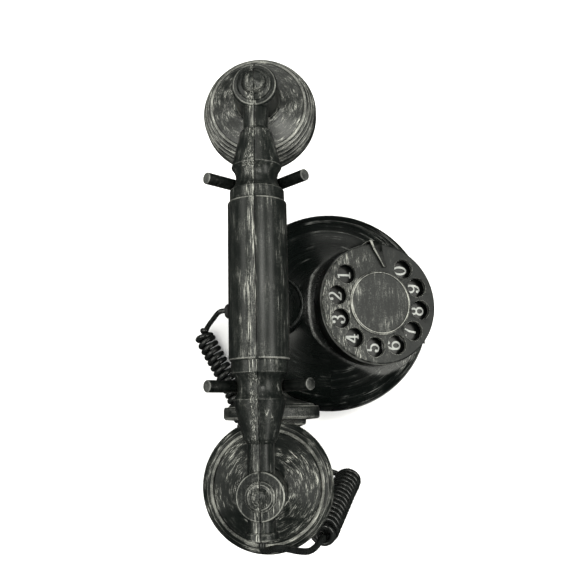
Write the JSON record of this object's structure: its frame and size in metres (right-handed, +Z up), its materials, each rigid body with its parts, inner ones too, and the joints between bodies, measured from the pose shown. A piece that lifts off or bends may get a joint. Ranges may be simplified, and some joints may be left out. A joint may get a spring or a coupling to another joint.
{
  "type": "rotary cradle telephone",
  "caption": "Vintage rotary telephone with a bun-shaped base, tilted dial, fork cradle on a post, turned handset with horn mouthpiece and coiled cord, in silver-brushed black.",
  "frame": {"origin": "centre of the felt pad's underside, where the phone stands on a table", "axes": "+Z up, X along the handset with the earpiece at +X, -Y towards the user and the dial"},
  "size_m": [0.2774, 0.1591, 0.1509],
  "materials": {
    "black": "satin black with sparse silver dry-brushing",
    "worn": "satin black with dense silver dry-brushing",
    "gunmetal": "brushed gunmetal paint",
    "dark_metal": "black sheet steel",
    "steel": "bright steel",
    "brass": "machined brass",
    "copper": "enamelled winding wire",
    "bakelite": "moulded, semi-gloss",
    "rubber": "matte rubber",
    "felt": "dark green felt",
    "cord": "satin vinyl jacket"
  },
  "bodies": {
    "base": {"base_shell": "black", "cradle_post": "black", "dial_housing": "black", "number_ring": "black", "finger_stop": "worn", "base_plate": "dark_metal", "base_screw_1": "steel", "base_screw_2": "steel", "base_screw_3": "steel", "base_screw_4": "steel", "cradle_spring": "steel", "ringer_bracket": "steel", "return_spring_drum": "steel", "post_bush": "brass", "gong_left": "brass", "gong_right": "brass", "dial_mechanism_frame": "brass", "hook_contact": "brass", "ringer_coil_left": "copper", "ringer_coil_right": "copper", "hook_switch": "bakelite", "terminal_block": "bakelite", "cord_grommet": "rubber", "felt_pad": "felt", "handset_cord": "cord"},
    "dial": {"finger_wheel": "gunmetal", "dial_cap": "gunmetal", "dial_shaft": "steel", "main_gear": "brass"},
    "governor": {"governor": "brass"},
    "cradle": {"cradle_bar": "black", "fork_left": "black", "fork_right": "black", "plunger": "steel"},
    "clapper": {"clapper": "steel"},
    "handset": {"handset_front_half": "worn", "handset_rear_half": "worn", "ear_shell": "worn", "ear_cap": "black", "receiver_capsule": "steel", "mouth_shell": "worn", "mouth_plate": "worn", "transmitter_capsule": "steel", "horn_elbow": "worn", "mouthpiece_bell": "worn", "mouthpiece_grille": "worn", "cord_bush": "rubber"}
  },
  "joints": [
    {"name": "dial_rotation", "type": "hinge", "parent": "base", "child": "dial", "pos_m": [0, -0.0273, 0.03662], "axis": [0, 0.3223, -0.9466], "range_deg": [0, 315]},
    {"name": "governor_spin", "type": "hinge", "parent": "base", "child": "governor", "pos_m": [-0.01697, -0.04337, 0.03115], "axis": [0, 0.3223, -0.9466], "range_deg": [-1260, 0]},
    {"name": "handset_lift", "type": "slide", "parent": "base", "child": "handset", "axis": [0, 0, 1], "range_m": [0, 0.035], "deforming": ["handset_cord"]},
    {"name": "hook_slide", "type": "slide", "parent": "base", "child": "cradle", "axis": [0, 0, 1], "range_m": [0, 0.004], "deforming": ["cradle_spring"]},
    {"name": "clapper_swing", "type": "hinge", "parent": "base", "child": "clapper", "pos_m": [0, 0, 0.016], "axis": [0, 0, 1], "range_deg": [-3.5, 3.5]}
  ],
  "couplings": [
    {"joint": "governor_spin", "follows": "dial_rotation", "ratio": -4},
    {"joint": "hook_slide", "follows": "handset_lift", "ratio": 0.11429}
  ]
}
